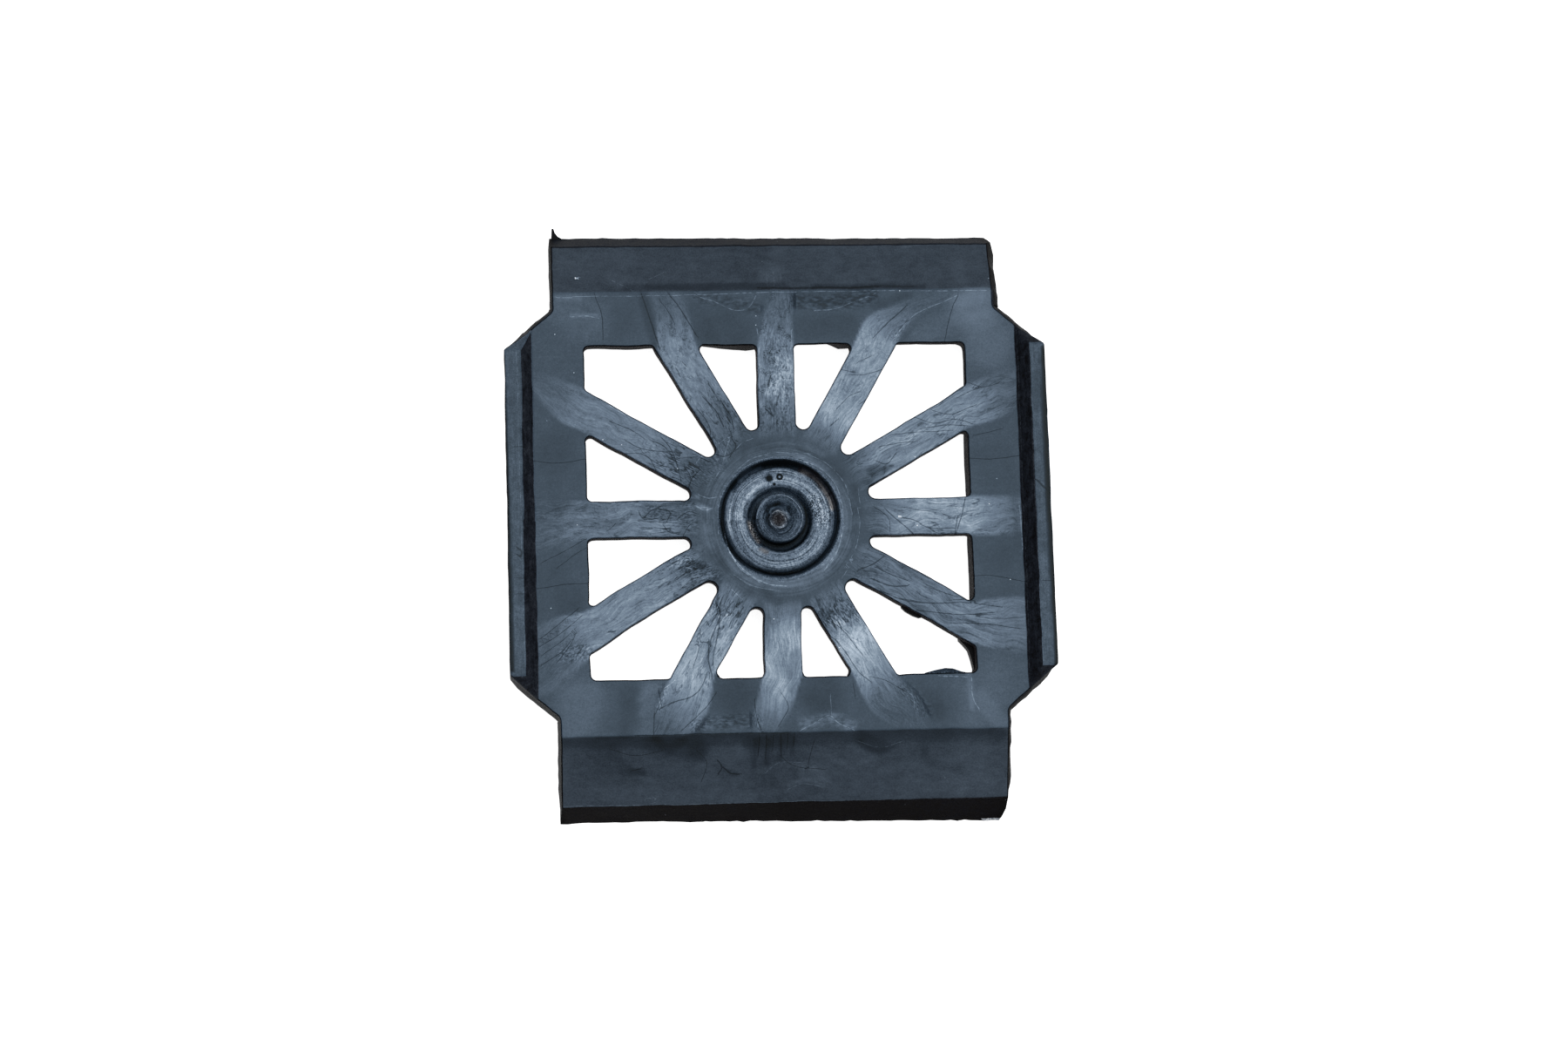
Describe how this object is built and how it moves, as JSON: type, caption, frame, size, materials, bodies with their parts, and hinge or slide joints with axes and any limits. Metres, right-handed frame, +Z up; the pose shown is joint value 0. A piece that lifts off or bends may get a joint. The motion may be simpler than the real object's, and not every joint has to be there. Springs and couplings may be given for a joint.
{
  "type": "rail pad",
  "caption": "Moulded rubber rail pad: a square plate with spoked windows round a recessed hub, a raised bar along each side and a sloping apron at each end.",
  "frame": {"origin": "under the centre of the hub, on the plane that the two apron toes stand on", "axes": "+X across the pad, towards one side bar; +Y towards the far apron, which has the narrower face; +Z up, out of the rail seat"},
  "size_m": [0.1688, 0.1844, 0.0229],
  "materials": {
    "rubber": "black moulded rubber with a greyish bloom and lighter flow marks that fan out from the central gate"
  },
  "bodies": {
    "root": {"pad": "rubber"}
  },
  "joints": []
}
